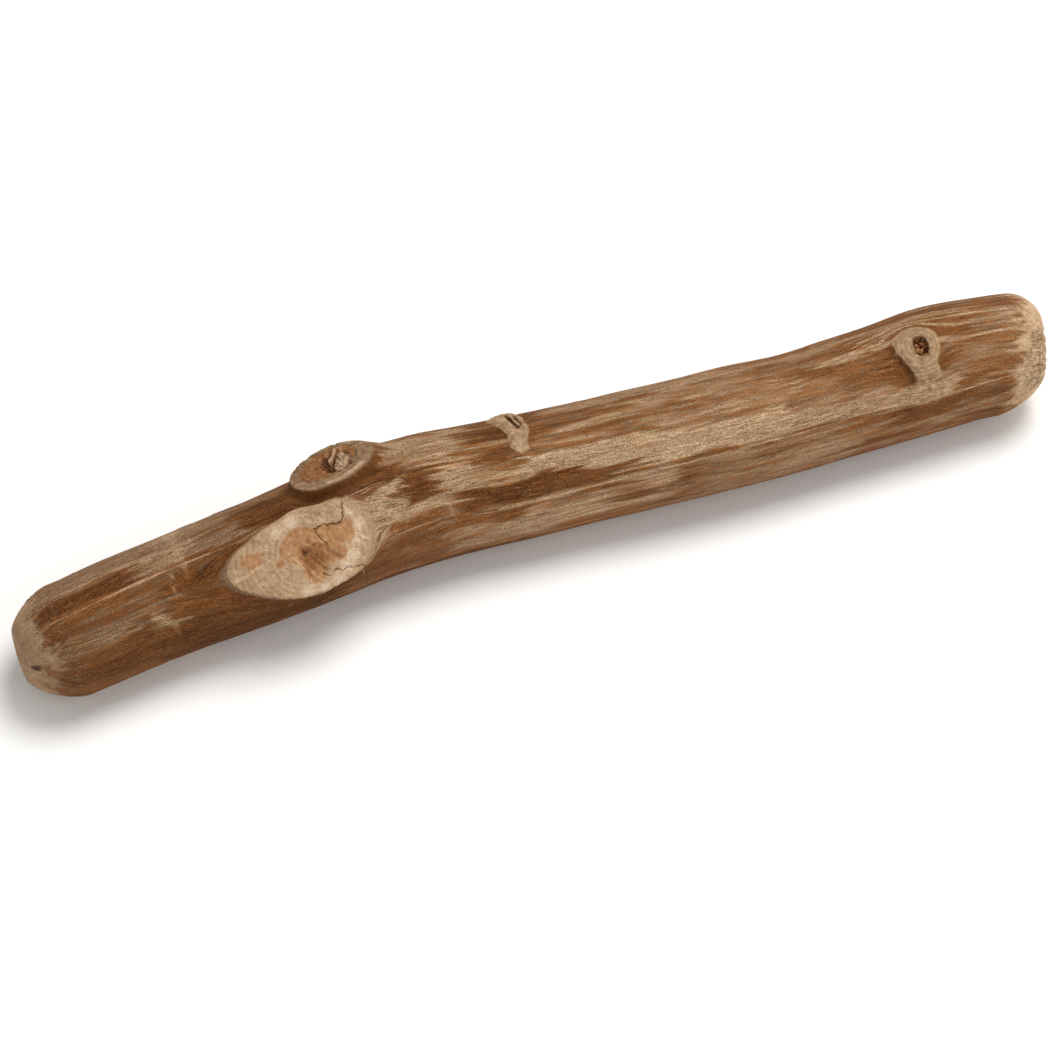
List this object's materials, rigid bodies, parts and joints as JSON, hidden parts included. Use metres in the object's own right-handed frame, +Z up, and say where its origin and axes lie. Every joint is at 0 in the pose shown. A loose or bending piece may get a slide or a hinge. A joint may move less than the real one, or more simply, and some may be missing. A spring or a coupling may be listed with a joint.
{
  "type": "wooden chew stick",
  "caption": "Cinnamon wood chew stick: a slightly bent length of branch with its bark rubbed off, ends sawn and rounded, side branches cut off flat and left as knots.",
  "frame": {"origin": "middle of the stick's bounding box, on the surface that it lies on", "axes": "+X along the stick towards its askew-sawn right end, +Z up, -Y to the front, where the two large knots look"},
  "size_m": [0.2016, 0.0298, 0.0276],
  "materials": {
    "wood": "bare branch wood, pale and fibrous where the bark is rubbed off, with dark brown inner bark left in long streaks along the grain, dry and matt, the knots and ends sanded pale"
  },
  "bodies": {
    "root": {"stick": "wood"}
  },
  "joints": []
}
